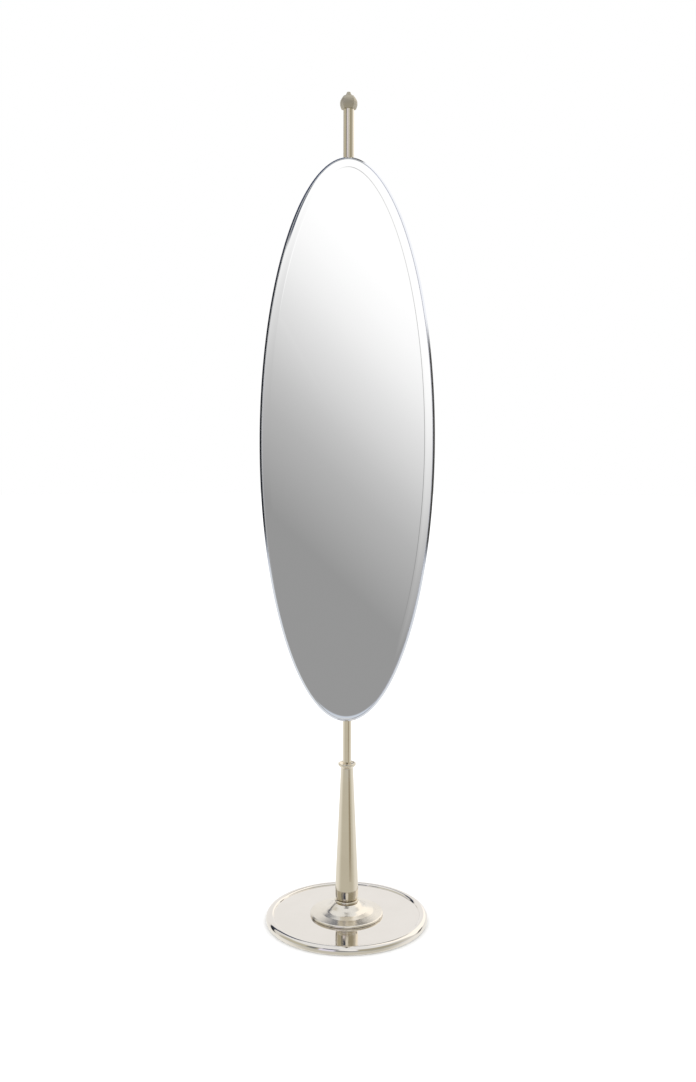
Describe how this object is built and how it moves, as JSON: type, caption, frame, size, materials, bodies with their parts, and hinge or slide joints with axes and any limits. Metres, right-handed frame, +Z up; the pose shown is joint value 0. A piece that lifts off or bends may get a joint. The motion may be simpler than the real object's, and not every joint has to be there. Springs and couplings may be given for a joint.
{
  "type": "cheval floor mirror",
  "caption": "Tall elliptical dressing mirror on a round weighted base and single nickel pole; it tilts, turns about the pole and slides for height.",
  "frame": {"origin": "on the floor, at the centre of the underside of the round base", "axes": "+Z up along the pole; -Y is the way the mirror faces; +X to the right of someone who looks at the mirror from the front"},
  "size_m": [0.422, 0.422, 2.1],
  "materials": {
    "nickel": "polished nickel plate on brass, warm",
    "rim_steel": "polished stainless rim, cool",
    "steel": "zinc-plated hardware, satin",
    "mirror_silver": "silvered glass with a polished bevel",
    "cast_iron": "blackened casting, rough",
    "felt": "charcoal wool felt",
    "brass": "plain turned brass, satin",
    "nylon": "natural nylon",
    "fibre": "red vulcanised fibre",
    "backing": "fibreboard painted black"
  },
  "bodies": {
    "stand": {"base_shell": "nickel", "felt_pad": "felt", "ballast": "cast_iron", "tie_washer": "steel", "tie_nut": "steel", "tie_rod": "steel", "boss_flange": "nickel", "foot_ring": "nickel", "column": "nickel", "column_plug": "steel", "column_collar": "nickel", "lower_pole": "nickel", "pole_guide": "nylon"},
    "height_stop": {"stop_collar": "nickel", "thrust_washer": "brass"},
    "stop_knob": {"stop_screw": "steel", "stop_knob": "nickel"},
    "post": {"upper_tube": "nickel", "tube_bush": "nylon", "finial_stud": "steel", "finial": "nickel", "bracket_arm": "nickel", "set_screw_lower": "steel", "set_screw_upper": "steel"},
    "mirror": {"hinge_plate": "steel", "fibre_washer_left": "fibre", "fibre_washer_right": "fibre", "tilt_bolt": "steel", "mirror_rim": "rim_steel", "mirror_glass": "mirror_silver", "backing_board": "backing", "hinge_screw_1": "steel", "hinge_screw_2": "steel", "hinge_screw_3": "steel", "hinge_screw_4": "steel", "clip_1": "steel", "clip_2": "steel", "clip_3": "steel", "clip_4": "steel", "clip_5": "steel", "clip_6": "steel", "clip_7": "steel", "clip_8": "steel", "clip_screw_1": "steel", "clip_screw_2": "steel", "clip_screw_3": "steel", "clip_screw_4": "steel", "clip_screw_5": "steel", "clip_screw_6": "steel", "clip_screw_7": "steel", "clip_screw_8": "steel"},
    "tilt_knob": {"tilt_knob": "nickel"}
  },
  "joints": [
    {"name": "height_slide", "type": "slide", "parent": "stand", "child": "height_stop", "axis": [0, 0, 1], "range_m": [-0.12, 0.2]},
    {"name": "stop_knob_turn", "type": "hinge", "parent": "height_stop", "child": "stop_knob", "pos_m": [0, 0, 0.7387], "axis": [0, 1, 0], "range_deg": [-180, 180]},
    {"name": "mirror_swivel", "type": "hinge", "parent": "height_stop", "child": "post", "pos_m": [0, 0, 0.76], "axis": [0, 0, 1], "continuous": true},
    {"name": "mirror_tilt", "type": "hinge", "parent": "post", "child": "mirror", "pos_m": [0, -0.078, 1.25], "axis": [1, 0, 0], "range_deg": [-3, 14.5]},
    {"name": "tilt_knob_turn", "type": "hinge", "parent": "mirror", "child": "tilt_knob", "pos_m": [0, -0.078, 1.25], "axis": [1, 0, 0], "range_deg": [-180, 180]}
  ]
}
